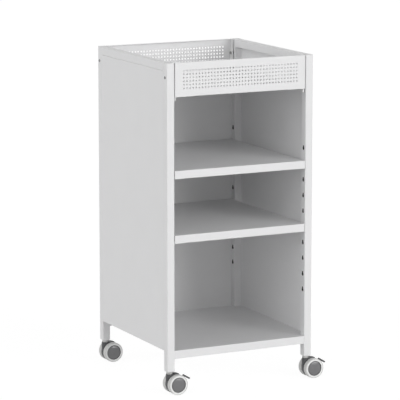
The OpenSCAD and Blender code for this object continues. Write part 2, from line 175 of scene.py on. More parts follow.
class Tree:
    """A shader or geometry node tree."""

    def __init__(self, nodes):
        self.nodes = nodes

    def add(self, kind, settings=None, sockets=None, output=0):
        """Adds a node, sets it up, then fills its sockets with values or wires."""
        node = self.nodes.nodes.new(kind)
        for name, value in (settings or {}).items():
            setattr(node, name, value)
        for name, value in (sockets or {}).items():
            if isinstance(value, Wire):
                self.nodes.links.new(value.socket, node.inputs[name])
            else:
                node.inputs[name].default_value = value
        return Wire(self, node.outputs[output]) if node.outputs else None

    def mixed(self, share, one, two):
        """A colour between two colours, each of them a wire or its red, green and blue."""
        one, two = (tone if isinstance(tone, Wire) else (*tone, 1) for tone in (one, two))
        # The places of its colours among the sockets of a Mix node
        first, second, result = 6, 7, 2
        sockets = {0: share, first: one, second: two}
        return self.add("ShaderNodeMix", {"data_type": "RGBA"}, sockets, result)

    def grain(self, place, size, detail=2.0, roughness=0.5):
        """Noise from 0 to 1 whose grains are about the given size."""
        sockets = {"Vector": place, "Scale": 1 / size, "Detail": detail, "Roughness": roughness}
        return self.add("ShaderNodeTexNoise", None, sockets, "Fac")


def emptied(owner):
    """The node tree of a new material or world, emptied."""
    owner.use_nodes = True
    owner.node_tree.nodes.clear()
    return Tree(owner.node_tree)


def finish(name):
    """A new material, its tree, and the place on the piece that its patterns follow."""
    material = bpy.data.materials.new(name)
    tree = emptied(material)
    return material, tree, tree.add("ShaderNodeTexCoord", output="Object")


def surface(tree, **sockets):
    """Ends a material in a Principled surface. A socket's name has its spaces as underscores."""
    named = {name.replace("_", " "): value for name, value in sockets.items()}
    shader = tree.add("ShaderNodeBsdfPrincipled", None, named)
    tree.add("ShaderNodeOutputMaterial", None, {"Surface": shader})


def relief(tree, height, depth):
    """A bump of the given depth in metres."""
    return tree.add("ShaderNodeBump", None, {"Height": height, "Distance": depth})


def powder_coat():
    """White powder on steel: orange peel, uneven gloss, faint marks, and near-black painted shade
    inside.
    """
    material, tree, place = finish("white_powder_coat")
    tone, shade, painted_shade_tone = (0.83, 0.83, 0.835), (0.79, 0.79, 0.795), (0.035, 0.034, 0.033)
    peel = tree.grain(place, 1.4 * MM, roughness=0.45)
    film = tree.grain(place, 60 * MM, detail=3.0)
    handling = tree.grain(place, 18 * MM, detail=6.0, roughness=0.65)
    marks = tree.add("ShaderNodeMapRange", {"interpolation_type": "SMOOTHSTEP"},
                     {"Value": handling, "From Min": 0.62, "From Max": 0.8})
    coat = tree.mixed(film * 0.6 + marks * 0.4, tone, shade)
    # The tube's inside and its slot edges are made rougher and near black: the black is painted
    # shade.
    bare_shade_mask = tree.add("ShaderNodeAttribute", {"attribute_name": "bare_painted_shade"}, output="Fac")
    surface(tree, Base_Color=tree.mixed(bare_shade_mask, coat, painted_shade_tone),
            Roughness=film * 0.1 + marks * 0.12 + bare_shade_mask * 0.3 + 0.36,
            Normal=relief(tree, peel, 0.03 * MM))
    return material


def moulded_plastic(name, tone, shade, roughness, grain_depth=0.02 * MM):
    """Injection-moulded plastic with a fine eroded grain and slightly uneven colour."""
    material, tree, place = finish(name)
    skin = tree.grain(place, 0.5 * MM, detail=3.0, roughness=0.6)
    cloud = tree.grain(place, 9 * MM, detail=4.0)
    surface(tree, Base_Color=tree.mixed(cloud, tone, shade), Roughness=cloud * 0.12 + roughness,
            Normal=relief(tree, skin, grain_depth))
    return material


def wheel_rubber():
    """White tyre rubber, with a mottled grey running band."""
    material, tree, place = finish("wheel_rubber")
    clean, band_grey = (0.88, 0.88, 0.875), (0.66, 0.66, 0.65)
    running = tree.add("ShaderNodeAttribute", {"attribute_name": "running"}, output="Fac")
    band_mottle = tree.grain(place, 3 * MM, detail=5.0, roughness=0.6)
    skin = tree.grain(place, 0.7 * MM)
    band_share = running * (band_mottle * 0.3 + 0.7)
    surface(tree, Base_Color=tree.mixed(band_share, clean, band_grey), Roughness=band_share * 0.3 + 0.45,
            Normal=relief(tree, skin, 0.03 * MM))
    return material


def zinc_plate():
    """Zinc-plated steel with faint spangle and haze."""
    material, tree, place = finish("zinc_plate")
    tone, shade = (0.55, 0.547, 0.54), (0.36, 0.357, 0.352)
    spangle = tree.add("ShaderNodeTexVoronoi", {"feature": "F1"},
                       {"Vector": place, "Scale": 1 / (1.6 * MM)}, "Color")
    flake = tree.add("ShaderNodeSeparateColor", None, {"Color": spangle}, "Red")
    haze = tree.grain(place, 2.5 * MM, detail=4.0)
    surface(tree, Base_Color=tree.mixed(flake * 0.5 + haze * 0.4, tone, shade), Metallic=1.0,
            Roughness=flake * 0.08 + haze * 0.15 + 0.3, Normal=relief(tree, haze, 0.01 * MM))
    return material


def blackened_steel():
    """Phosphated screw steel, worn brighter in spots."""
    material, tree, place = finish("blackened_steel")
    tone, worn_tone = (0.2, 0.201, 0.204), (0.32, 0.32, 0.322)
    worn = tree.grain(place, 1.2 * MM, detail=5.0, roughness=0.65)
    surface(tree, Base_Color=tree.mixed(worn, tone, worn_tone), Metallic=0.7,
            Roughness=worn * 0.2 + 0.35, Normal=relief(tree, worn, 0.01 * MM))
    return material


# The material of each slot. Plastics have their tone, the shade it varies to, and a roughness.
FINISH = {
    "white_steel": powder_coat(),
    "white_plastic": moulded_plastic(
        "white_plug_plastic", (0.82, 0.82, 0.82), (0.77, 0.77, 0.77), 0.32),
    "dark_steel": blackened_steel(),
    "zinc_steel": zinc_plate(),
    "castor_plastic": moulded_plastic(
        "dark_castor_nylon", (0.085, 0.086, 0.09), (0.065, 0.066, 0.07), 0.42),
    "cap_plastic": moulded_plastic(
        "grey_cap_plastic", (0.19, 0.19, 0.195), (0.16, 0.16, 0.165), 0.1, 0.003 * MM),
    "tread": wheel_rubber(),
}


def rounded_line(points, radius, steps=FOLD_STEPS, closed=False):
    """The points of a line with an arc at each sharp corner, as tuples."""
    points = [Vector(p) for p in points]
    line = []
    for i, corner in enumerate(points):
        if not closed and i in (0, len(points) - 1):
            line.append(corner)
            continue
        back = (points[i - 1] - corner).normalized()
        on = (points[(i + 1) % len(points)] - corner).normalized()
        spread = back.angle(on)
        sweep = pi - spread
        if sweep < radians(ROUND_FROM):
            line.append(corner)
            continue
        middle = corner + (back + on).normalized() * (radius / sin(spread / 2))
        reach = radius / tan(spread / 2)
        start, end = corner + back * reach - middle, corner + on * reach - middle
        for k in range(steps + 1):
            turn = sweep * k / steps
            line.append(middle + (start * sin(sweep - turn) + end * sin(turn)) / sin(sweep))
    kept = [line[0]]
    for point in line[1:]:
        if (point - kept[-1]).length > WELD:
            kept.append(point)
    return [tuple(p) for p in kept]


def arc(middle, radius, start, end, steps):
    """Points on an arc in a plane, between two angles in degrees."""
    turns = [radians(start + (end - start) * k / steps) for k in range(steps + 1)]
    return [(middle[0] + radius * cos(t), middle[1] + radius * sin(t)) for t in turns]


def round_outline(middle, radius, facets):
    """A circle in a plane."""
    return arc(middle, radius, 0, 360 - 360 / facets, facets - 1)


def block_outline(low, high):
    """The corners of a rectangle."""
    return [(low[0], low[1]), (high[0], low[1]), (high[0], high[1]), (low[0], high[1])]


def weave(bm, rows, closed=False):
    """Faces between rows of points. Closed rows join their end to their start."""
    made = [[bm.verts.new(p) for p in row] for row in rows]
    for one, two in zip(made, made[1:]):
        for i in range(len(one) - (not closed)):
            j = (i + 1) % len(one)
            bm.faces.new((one[i], one[j], two[j], two[i]))


def fill(bm, points):
    """One flat face with the given outline."""
    bm.faces.new([bm.verts.new(p) for p in points])


def along_x(u, v, depth):
    """Outline in Y and Z, depth along X."""
    return (depth, u, v)


def along_y(u, v, depth):
    """Outline in X and Z, depth along Y."""
    return (u, depth, v)


def along_z(u, v, depth):
    """Outline in X and Y, depth along Z."""
    return (u, v, depth)


def prism(bm, outline, near, far, lay):
    """A block with a closed outline, from one depth to another."""
    weave(bm, [[lay(u, v, depth) for u, v in outline] for depth in (near, far)], True)
    for depth in (near, far):
        fill(bm, [lay(u, v, depth) for u, v in outline])


def slab(bm, outline, y, width):
    """A block with an outline in X and Z, by its middle and its width along Y."""
    prism(bm, outline, y - width / 2, y + width / 2, along_y)


def ring(radius, height, facets):
    """A level circle of points round the Z axis."""
    turns = [2 * pi * k / facets for k in range(facets)]
    return [(radius * cos(t), radius * sin(t), height) for t in turns]


def turned(bm, profile, place, facets=ROUND_FACETS):
    """A profile of radii and heights, turned round the Z axis and put in its place."""
    rows = [[place @ Vector(p) for p in ring(r, z, facets)] for r, z in profile]
    weave(bm, rows, True)
    return rows


def hexagon_bar(bm, place, radius, near, far):
    """A hexagon bar along the Z axis, put in its place."""
    for row in turned(bm, [(radius, near), (radius, far)], place, 6):
        fill(bm, row)


def part(name, bm, facing=None):
    """An object from the faces of bm, welded and turned outwards, or to face one way."""
    bmesh.ops.remove_doubles(bm, verts=bm.verts, dist=WELD)
    bmesh.ops.recalc_face_normals(bm, faces=bm.faces)
    if facing is not None:
        widest = max(bm.faces, key=lambda face: face.calc_area())
        if widest.normal.dot(Vector(facing)) < 0:
            bmesh.ops.reverse_faces(bm, faces=bm.faces)
    mesh = bpy.data.meshes.new(name)
    bm.to_mesh(mesh)
    bm.free()
    made = bpy.data.objects.new(name, mesh)
    bpy.context.scene.collection.objects.link(made)
    return made


def modify(made, kind, **settings):
    """Adds a modifier with its settings."""
    modifier = made.modifiers.new(kind.lower(), kind)
    for name, value in settings.items():
        setattr(modifier, name, value)
    return modifier


def settle(made):
    """Makes the modifiers part of the mesh."""
    bpy.context.view_layer.update()
    graph = bpy.context.evaluated_depsgraph_get()
    mesh = bpy.data.meshes.new_from_object(
        made.evaluated_get(graph), preserve_all_data_layers=True, depsgraph=graph)
    made.modifiers.clear()
    made.data = mesh
    return made


def combine(made, other, operation):
    """Cuts another object from this one, or joins it on, and removes the other."""
    modify(made, "BOOLEAN", object=other, operation=operation, solver="EXACT")
    settle(made)
    bpy.data.objects.remove(other)
    return made


def soften(made, width, steps=2):
    """Rounds the sharp edges."""
    modify(made, "BEVEL", width=width, segments=steps, limit_method="ANGLE",
           angle_limit=radians(SOFTEN_FROM), use_clamp_overlap=True)
    return settle(made)


def thicken(made):
    """Gives a sheet its thickness, inwards from the outer face."""
    modify(made, "SOLIDIFY", thickness=SHEET, offset=-1, use_even_offset=True)
    return settle(made)


def hand_over(made, slot, body, *nodes):
    """Shades a finished piece, gives it its finish, and seats it on its body."""
    made.data.shade_smooth()
    made.data.set_sharp_from_angle(angle=radians(SHARP_FROM))
    modify(made, "WEIGHTED_NORMAL", keep_sharp=True)
    settle(made)
    made.data.materials.clear()
    made.data.materials.append(FINISH[slot])
    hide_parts(*nodes)
    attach(made, body)


def hand_over_sheet(name, bm, facing, node, body="cabinet"):
    """Makes a sheet of its outer faces, softens its cut edges and hands it over."""
    made = thicken(part(name, bm, facing))
    hand_over(soften(made, CUT_EDGE), "white_steel", body, node)


def punch_pattern():
    """Geometry nodes that repeat a shape in columns along X and rows along Z."""
    nodes = bpy.data.node_groups.new("punch_pattern", "GeometryNodeTree")
    wanted = [("Shape", "NodeSocketGeometry"),
              ("Columns", "NodeSocketInt"), ("Column Step", "NodeSocketFloat"),
              ("Rows", "NodeSocketInt"), ("Row Step", "NodeSocketFloat")]
    for name, kind in wanted:
        nodes.interface.new_socket(name, in_out="INPUT", socket_type=kind)
    nodes.interface.new_socket("Shape", in_out="OUTPUT", socket_type="NodeSocketGeometry")
    tree = Tree(nodes)
    given = {name: tree.add("NodeGroupInput", output=name) for name, kind in wanted}
    shape = given["Shape"]
    for count, step, way in (("Columns", "Column Step", "X"), ("Rows", "Row Step", "Z")):
        offset = tree.add("ShaderNodeCombineXYZ", None, {way: given[step]})
        line = tree.add("GeometryNodeMeshLine", None, {"Count": given[count], "Offset": offset})
        copies = tree.add("GeometryNodeInstanceOnPoints", None, {"Points": line, "Instance": shape})
        shape = tree.add("GeometryNodeRealizeInstances", None, {"Geometry": copies})
    welded = tree.add("GeometryNodeMergeByDistance", None, {"Geometry": shape, "Distance": WELD})
    coated = tree.add("GeometryNodeSetMaterial", None,
                      {"Geometry": welded, "Material": FINISH["white_steel"]})
    tree.add("NodeGroupOutput", None, {"Shape": coated})
    return nodes


PUNCH_PATTERN = punch_pattern()


def repeat(made, columns=1, column_step=0.0, rows=1, row_step=0.0):
    """The shape of an object repeated by the punch pattern, as one mesh."""
    modifier = modify(made, "NODES", node_group=PUNCH_PATTERN)
    values = {"Columns": columns, "Column Step": column_step, "Rows": rows, "Row Step": row_step}
    for item in PUNCH_PATTERN.interface.items_tree:
        if item.in_out == "INPUT" and item.name in values:
            modifier[item.identifier] = values[item.name]
    return settle(made)


def keyhole_foot(y, z, radius, top_radius, facets):
    """The round foot of a keyhole in Y and Z, left open where its narrower top begins."""
    waist = degrees(asin(top_radius / radius))
    return arc((y, z), radius, 90 + waist, 450 - waist, facets)


def keyhole_cutters(name, x_near, x_far, y, first):
    """A column of keyhole prisms that runs down a post from its first slot."""
    foot = SLOT_FOOT_RADIUS - SLOT_HEIGHT / 2
    head = SLOT_HEIGHT / 2 - SLOT_TOP_RADIUS
    outline = (keyhole_foot(y, foot, SLOT_FOOT_RADIUS, SLOT_TOP_RADIUS, SLOT_FOOT_FACETS)
               + arc((y, head), SLOT_TOP_RADIUS, 0, 180, SLOT_TOP_FACETS))
    bm = bmesh.new()
    prism(bm, [(u, v + first) for u, v in outline], x_near, x_far, along_x)
    return repeat(part(name, bm), rows=SLOT_COUNT, row_step=-SLOT_PITCH)


def drill(made, x_near, x_far, y):
    """Cuts the hole of a tray screw along X, at the height of all of them."""
    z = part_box("post_front_left")[1].z - SCREW_DROP
    bm = bmesh.new()
    prism(bm, round_outline((y, z), SCREW_HOLE_RADIUS, SCREW_HOLE_FACETS), x_near, x_far, along_x)
    combine(made, part("screw_hole", bm), "DIFFERENCE")


def square_outline(middle, half, corner, steps=FOLD_STEPS):
    """A square with rounded corners."""
    x, y = middle
    return rounded_line(block_outline((x - half, y - half), (x + half, y + half)),
                        corner, steps, closed=True)


def square_tube(name, middle, near, far, lay):
    """A length of square tube, from one depth to another."""
    outer = square_outline(middle, TUBE / 2, TUBE_CORNER)
    inner = square_outline(middle, TUBE / 2 - TUBE_WALL, TUBE_INNER_CORNER)
    rows = [(outer, near), (outer, far), (inner, far), (inner, near), (outer, near)]
    bm = bmesh.new()
    weave(bm, [[lay(u, v, depth) for u, v in outline] for outline, depth in rows], True)
    return part(name, bm)


def mark_bare_painted_shade(made, middle, reach):
    """Marks a post's bore and the cut edges of its slots, which take a near-black painted shade."""
    margin = 0.1 * MM
    bore, skin = TUBE / 2 - TUBE_WALL + margin, TUBE / 2 - margin
    bare_painted_shade = made.data.attributes.new("bare_painted_shade", "FLOAT", "FACE")
    for facet, value in zip(made.data.polygons, bare_painted_shade.data):
        off = facet.center - middle
        x, y = abs(off.x), abs(off.y)
        at_end = reach - abs(off.z) < MM
        slot_edge = x < skin and y < SLOT_FOOT_RADIUS and not at_end
        # A face inside the tube or on a slot's cut edge gets the painted shade.
        value.value = float(max(x, y) < bore or slot_edge)


def post(corner):
    """A square tube with its row of keyhole slots, facing the post across."""
    node = POSTS[corner]
    low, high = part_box(node)
    middle = (low + high) / 2
    made = square_tube(f"tube_{node}", middle.xy, low.z, high.z, along_z)
    side = CORNERS[corner][0]
    face = middle.x - side * TUBE / 2
    x_out, x_in = face - side * OVERSHOOT, face + side * (TUBE_WALL + OVERSHOOT)
    slots = keyhole_cutters(f"slots_{node}", x_out, x_in, middle.y, high.z - SLOT_FIRST)
    combine(made, slots, "DIFFERENCE")
    drill(made, low.x - OVERSHOOT, high.x + OVERSHOOT, middle.y)
    mark_bare_painted_shade(made, middle, high.z - middle.z)
    hand_over(made, "white_steel", "cabinet", node)


def post_plugs():
    """The plugs in the tops of the posts, domed a little under their rim."""
    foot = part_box("post_caps")[0].z
    half = TUBE / 2 - TUBE_WALL - PLAY
    bm = bmesh.new()
    for node in POSTS.values():
        low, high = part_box(node)
        middle = (low + high) / 2
        # The levels of the plug, and how far each stands in from its sides
        levels = [(0, foot), (0, high.z - 0.5 * MM), (0.4 * MM, high.z - 0.1 * MM),
                  (half * 0.6, high.z - 0.02 * MM)]
        rows = [[(x, y, z) for x, y in square_outline(middle.xy, half - inset, TUBE_INNER_CORNER)]
                for inset, z in levels]
        weave(bm, rows, True)
        fill(bm, rows[0])
        fill(bm, rows[-1])
    hand_over(part("post_plugs", bm), "white_plastic", "cabinet", "post_caps")


def foot_sockets():
    """The castor sockets: a square spigot in the post, a square edge and a round taper below."""
    low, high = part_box("foot_sockets")
    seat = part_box("post_front_left")[0].z
    bore_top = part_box("stem_fl")[1].z + 4.5 * MM
    edge_foot, taper_top, mouth = seat - 1.2 * MM, seat - 1.6 * MM, low.z + 0.3 * MM
    top_radius, foot_radius, chamfer = 9.3 * MM, 7.6 * MM, 0.3 * MM
    steps = SMALL_ROUND_FACETS // 4 - 1
    spigot = square_outline((0, 0), TUBE / 2 - TUBE_WALL - PLAY, TUBE_INNER_CORNER, steps)
    edge = square_outline((0, 0), TUBE / 2 - SEAT_GAP, TUBE_CORNER, steps)
    # The circles have as many points as the squares, and start where these do
    turns = [2 * pi * (k + 0.5) / len(edge) - pi for k in range(len(edge))]

    def circle(radius):
        return [(radius * cos(t), radius * sin(t)) for t in turns]

    rows = [(circle(0), high.z), (spigot, high.z), (spigot, seat), (edge, seat),
            (edge, edge_foot), (circle(top_radius), taper_top), (circle(foot_radius), mouth),
            (circle(foot_radius - chamfer), low.z), (circle(BORE_RADIUS), low.z),
            (circle(BORE_RADIUS), bore_top), (circle(0), bore_top)]
    bm = bmesh.new()
    for node in POSTS.values():
        post_low, post_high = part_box(node)
        middle = ((post_low + post_high) / 2).xy
        weave(bm, [[(middle.x + x, middle.y + y, z) for x, y in row] for row, z in rows], True)
    hand_over(part("castor_sockets", bm), "white_plastic", "cabinet", "foot_sockets")


def top_rail(side):
    """The square tube along the top of a side."""
    node = f"top_rail_{side}"
    low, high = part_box(node)
    middle = (low + high) / 2
    made = square_tube(f"tube_{node}", (middle.x, middle.z), low.y, high.y, along_y)
    hand_over(made, "white_steel", "cabinet", node)


def side_panel(side, way):
    """A side panel: its skin is folded in against both posts and under the top rail."""
    node = f"side_panel_{side}"
    low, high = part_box(node)
    skin, inward = (high.x, low.x) if way > 0 else (low.x, high.x)
    # The folds against the posts start just over the bottom shelf
    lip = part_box("bottom_shelf")[1].z + 0.1 * MM
    crease, top_crease = high.y - FOLD, high.z - FOLD
    bm = bmesh.new()
    plan = rounded_line([(inward, low.y), (skin, low.y), (skin, high.y), (inward, high.y)], FOLD)
    weave(bm, [[(x, y, z) for x, y in plan] for z in (lip, top_crease)])
    weave(bm, [[(skin, y, z) for y in (-crease, crease)] for z in (low.z, lip)])
    fold = rounded_line([(skin, top_crease), (skin, high.z), (inward, high.z)], FOLD)
    weave(bm, [[(x, y, z) for x, z in fold] for y in (-crease, crease)])
    hand_over_sheet(f"folded_{node}", bm, (way, 0, 0), node)


def back_panel():
    """The plain sheet between the back posts, its edges sunk in the welds."""
    low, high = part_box("back_panel")
    weld_depth = 0.5 * MM
    corners = block_outline((low.x - weld_depth, low.z), (high.x + weld_depth, high.z))
    bm = bmesh.new()
    fill(bm, [(x, high.y, z) for x, z in rounded_line(corners, SHEET_CORNER, closed=True)])
    hand_over_sheet("flat_back_panel", bm, (0, 1, 0), "back_panel")


def punched_tile(name, y, x, z):
    """One cell of the perforated field: a rectangle round a punched hole, from its lower left."""
    half_x, half_z = HOLE_PITCH / 2
    middle = Vector((x + half_x, z + half_z))
    hole = arc(middle, HOLE_RADIUS, -135, 225, HOLE_SIDES)
    border = [(-1, -1), (0, -1), (1, -1), (1, 0), (1, 1), (0, 1), (-1, 1), (-1, 0), (-1, -1)]
    edge = [(middle.x + u * half_x, middle.y + v * half_z) for u, v in border]
    sectors = len(border) - 1
    step = HOLE_SIDES // sectors
    bm = bmesh.new()
    for k in range(sectors):
        bite = hole[k * step:(k + 1) * step + 1]
        fill(bm, [(u, y, v) for u, v in [edge[k], edge[k + 1], *reversed(bite)]])
    return part(name, bm)


def rim_panel(side, way):
    """A perforated rim panel: folded ends, and hems along the top and the foot."""
    node = f"rim_panel_{side}"
    low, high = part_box(node)
    face = high.y if way > 0 else low.y
    field_x, field_z = HOLE_COLUMNS * HOLE_PITCH.x, HOLE_ROWS * HOLE_PITCH.y
    left, foot = -field_x / 2, (low.z + high.z - field_z) / 2
    tile = punched_tile(f"tile_{side}", face, left, foot)
    field = repeat(tile, HOLE_COLUMNS, HOLE_PITCH.x, HOLE_ROWS, HOLE_PITCH.y)
    bm = bmesh.new()
    bm.from_mesh(field.data)
    bpy.data.objects.remove(field)
    columns = [left + k * HOLE_PITCH.x / 2 for k in range(2 * HOLE_COLUMNS + 1)]
    rows = [foot + k * HOLE_PITCH.y / 2 for k in range(2 * HOLE_ROWS + 1)]
    foot_hem, top_hem = high.x - FOOT_HEM_SETBACK, high.x - TOP_HEM_SETBACK
    depth = high.y - low.y
    low_crease, high_crease = low.z + FOLD, high.z - FOLD
    for edge_z, crease, end, stops in (
            (rows[0], low_crease, low.z, (-left, foot_hem, -foot_hem, left)),
            (rows[-1], high_crease, high.z, (top_hem, -left, left, -top_hem))):
        border = [(x, face, edge_z) for x in columns]
        fill(bm, border + [(x, face, crease) for x in stops if abs(x) <= -left])
        hem = rounded_line([(face, crease), (face, end), (face - way * RIM_HEM, end)], FOLD)
        ends = [x for x in stops if end == high.z or abs(x) < -left]
        weave(bm, [[(x, y, z) for y, z in hem] for x in ends])
    levels = [low_crease, *rows, high_crease]
    for turn in (-1, 1):
        fold = rounded_line([(-left, face), (top_hem, face), (high.x, face),
                             (high.x, face - way * depth)], FOLD)
        weave(bm, [[(turn * x, y, z) for x, y in fold] for z in levels])
        for edge, pair in (([(foot_hem, face), *fold], (low.z, low_crease)),
                           (fold[1:], (high_crease, high.z))):
            weave(bm, [[(turn * x, y, z) for x, y in edge] for z in pair])
    made = thicken(part(f"perforated_{node}", bm, facing=(0, way, 0)))
    # The screws pass through the folded ends, nearer to the face than to the fold's edge
    screw_y = (low.y + high.y) / 2 + way * 3 * MM
    inside = high.x - 2 * MM
    for turn in (-1, 1):
        drill(made, *sorted((turn * inside, turn * (high.x + OVERSHOOT))), screw_y)
    hand_over(made, "white_steel", "cabinet", node)


def tray_floor():
    """The floor of the tray, notched round the posts and brackets."""
    low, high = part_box("tray_floor")
    post_face = -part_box("post_front_left")[0].y
    notch_x = high.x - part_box("tray_brackets")[1].x + BRACKET_THICKNESS + SEAT_GAP
    notch_y = TUBE + SHEET + SEAT_GAP - (post_face - high.y)
    right, deep = high.x - notch_x, high.y - notch_y
    outline = [(high.x, -deep), (high.x, deep), (right, deep), (right, high.y),
               (-right, high.y), (-right, deep), (low.x, deep), (low.x, -deep),
               (-right, -deep), (-right, low.y), (right, low.y), (right, -deep)]
    bm = bmesh.new()
    fill(bm, [(x, y, high.z) for x, y in rounded_line(outline, SHEET_CORNER, closed=True)])
    hand_over_sheet("notched_tray_floor", bm, (0, 0, 1), "tray_floor")


def bottom_shelf():
    """The bottom shelf, folded down between the posts at the front and the back."""
    low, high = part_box("bottom_shelf")
    between = high.y - TUBE
    front = rounded_line([(low.y, low.z), (low.y, high.z), (-between, high.z)], FOLD)
    profile = front + [(-y, z) for y, z in reversed(front)]
    bm = bmesh.new()
    weave(bm, [[(x, y, z) for y, z in profile] for x in (-between, between)])
    for turn in (-1, 1):
        weave(bm, [[(turn * x, y, high.z) for y in (-between, between)] for x in (between, high.x)])
    hand_over_sheet("folded_bottom_shelf", bm, (0, 0, 1), "bottom_shelf")


def lift_out_shelf(node, body):
    """A shelf with hemmed front and back edges and shallow side edges, relieved at its corners."""
    low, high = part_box(node)
    inner, crease = high.x - SHELF_SETBACK, high.x - FOLD

    def half(end, way):
        """The profile from an end's hem to the top, and the part of it without the hem."""
        bend = (end, low.z + FOLD)
        hem = rounded_line([(end + way * SHELF_HEM, low.z), (end, low.z), bend], FOLD)
        edge = rounded_line([bend, (end, high.z), (end + way * SHELF_SETBACK, high.z)], FOLD)
        return hem + edge[1:], [(end, low.z), *edge]

    front, front_bare = half(low.y, 1)
    back, back_bare = half(high.y, -1)
    bm = bmesh.new()
    weave(bm, [[(x, y, z) for y, z in front + back[::-1]] for x in (-inner, inner)])
    side_fold = rounded_line([(inner, high.z), (high.x, high.z), (high.x, high.z - SHELF_SIDE)],
                             FOLD)
    for turn in (-1, 1):
        for profile, span in ((front_bare + back_bare[::-1], (inner, crease)),
                              (front_bare, (crease, high.x)), (back_bare, (crease, high.x))):
            weave(bm, [[(turn * x, y, z) for y, z in profile] for x in span])
        ends = (low.y + SHELF_SETBACK, high.y - SHELF_SETBACK)
        weave(bm, [[(turn * x, y, z) for x, z in side_fold[1:]] for y in ends])
    hand_over_sheet(f"folded_{node}", bm, (0, 0, 1), node, body)


def post_row():
    """How far the middles of the posts stand from the object's middle, along Y."""
    return abs(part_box("post_front_right")[0].y + TUBE / 2)


def tray_brackets():
    """The corner brackets: a leg on the post and a foot under the tray floor."""
    low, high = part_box("tray_brackets")
    foot_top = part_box("tray_floor")[0].z
    foot_low = foot_top - BRACKET_THICKNESS
    leg_in, leg_out = high.x - BRACKET_THICKNESS, high.x
    foot_length, width = 20 * MM, 11 * MM
    toe = leg_in - foot_length
    outline = [(leg_in, low.z), (leg_out, low.z), (leg_out, high.z), (leg_in, high.z),
               (leg_in, foot_top), (toe, foot_top), (toe, foot_low), (leg_in, foot_low)]
    bm = bmesh.new()
    for way_x, way_y in CORNERS.values():
        ends = (way_y * high.y, way_y * (high.y - width))
        prism(bm, [(way_x * x, z) for x, z in outline], *ends, along_y)
    made = soften(part("tray_corner_brackets", bm), MOULDED_EDGE, 3)
    for way_x, way_y in CORNERS.values():
        ends = sorted((way_x * (leg_in - OVERSHOOT), way_x * (leg_out + OVERSHOOT)))
        drill(made, *ends, way_y * (high.y - width / 2))
    hand_over(made, "white_plastic", "cabinet", "tray_brackets")


def screw_places(x):
    """Puts a piece drawn along +Z on each tray screw, pointing out, at an X from the middle."""
    low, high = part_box("tray_screws")
    for way_x, way_y in CORNERS.values():
        place = Matrix.Translation((way_x * x, way_y * post_row(), (low.z + high.z) / 2))
        yield place @ Matrix.Rotation(way_x * pi / 2, 4, "Y")


def tray_screws():
    """Pan-head screws with a hexagon socket, and threads on their inner ends."""
    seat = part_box("post_front_right")[1].x
    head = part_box("tray_screws")[1].x - seat
    tip, lead = 170 * MM, 0.5 * MM
    root, pitch, turns = SCREW_RADIUS - 0.35 * MM, 0.7 * MM, 14
    tip_radius, crown_radius = SCREW_RADIUS - 0.6 * MM, 2.1 * MM
    # Radius of the pan head and height over its seat, in millimetres
    pan = [(3.7, 0), (3.8, 0.15), (3.8, 0.5), (3.45, 0.95), (2.8, 1.25)]
    socket_radius, socket_floor, socket_top = 1.3 * MM, 0.5 * MM, 2 * MM
    thread = []
    for k in range(turns):
        crest = tip + lead + k * pitch
        thread += [(root, crest - seat), (SCREW_RADIUS, crest + pitch / 2 - seat)]
    profile = [(0, tip - seat), (tip_radius, tip - seat), *thread,
               (SCREW_RADIUS, thread[-1][1] + pitch / 2), (SCREW_RADIUS, 0),
               *((radius * MM, height * MM) for radius, height in pan),
               (crown_radius, head), (0, head)]
    bm = bmesh.new()
    sockets = bmesh.new()
    for place in screw_places(seat):
        turned(bm, profile, place, SCREW_FACETS)
        hexagon_bar(sockets, place, socket_radius, socket_floor, socket_top)
    made = combine(part("pan_head_screws", bm), part("hexagon_sockets", sockets), "DIFFERENCE")
    hand_over(made, "dark_steel", "cabinet", "tray_screws")


def tray_nuts():
    """Chamfered hexagon nuts on the screws."""
    outer_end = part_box("tray_nuts")[1].x
    flats, height = 3.5 * MM, 3.2 * MM
    corner = flats / cos(pi / 6)
    bore = SCREW_RADIUS + PLAY
    # Cones cut the corners of the hexagon from the rim of its face on
    rim, cut, past = flats * 0.97, corner - flats, 0.5 * MM
    profile = [(bore, 0), (rim, 0), (corner, cut), (corner + 2 * past, cut + past),
               (corner + 2 * past, height - cut - past), (corner, height - cut), (rim, height),
               (bore, height), (bore, 0)]
    bm = bmesh.new()
    cones = bmesh.new()
    for place in screw_places(outer_end - height):
        hexagon_bar(bm, place, corner, 0, height)
        turned(cones, profile, place, NUT_FACETS)
    made = combine(part("hexagon_nuts", bm), part("nut_chamfers", cones), "INTERSECT")
    hand_over(made, "zinc_steel", "cabinet", "tray_nuts")


def tray_spacers():
    """Spacer rings between the posts and the rim panels."""
    outer_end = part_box("tray_spacers")[1].x
    width, outer, bore, chamfer = 2 * MM, 4 * MM, SCREW_HOLE_RADIUS, 0.3 * MM
    profile = [(bore, 0), (outer - chamfer, 0), (outer, chamfer), (outer, width - chamfer),
               (outer - chamfer, width), (bore, width), (bore, 0)]
    bm = bmesh.new()
    for place in screw_places(outer_end - width):
        turned(bm, profile, place, NUT_FACETS)
    hand_over(part("spacer_rings", bm), "dark_steel", "cabinet", "tray_spacers")


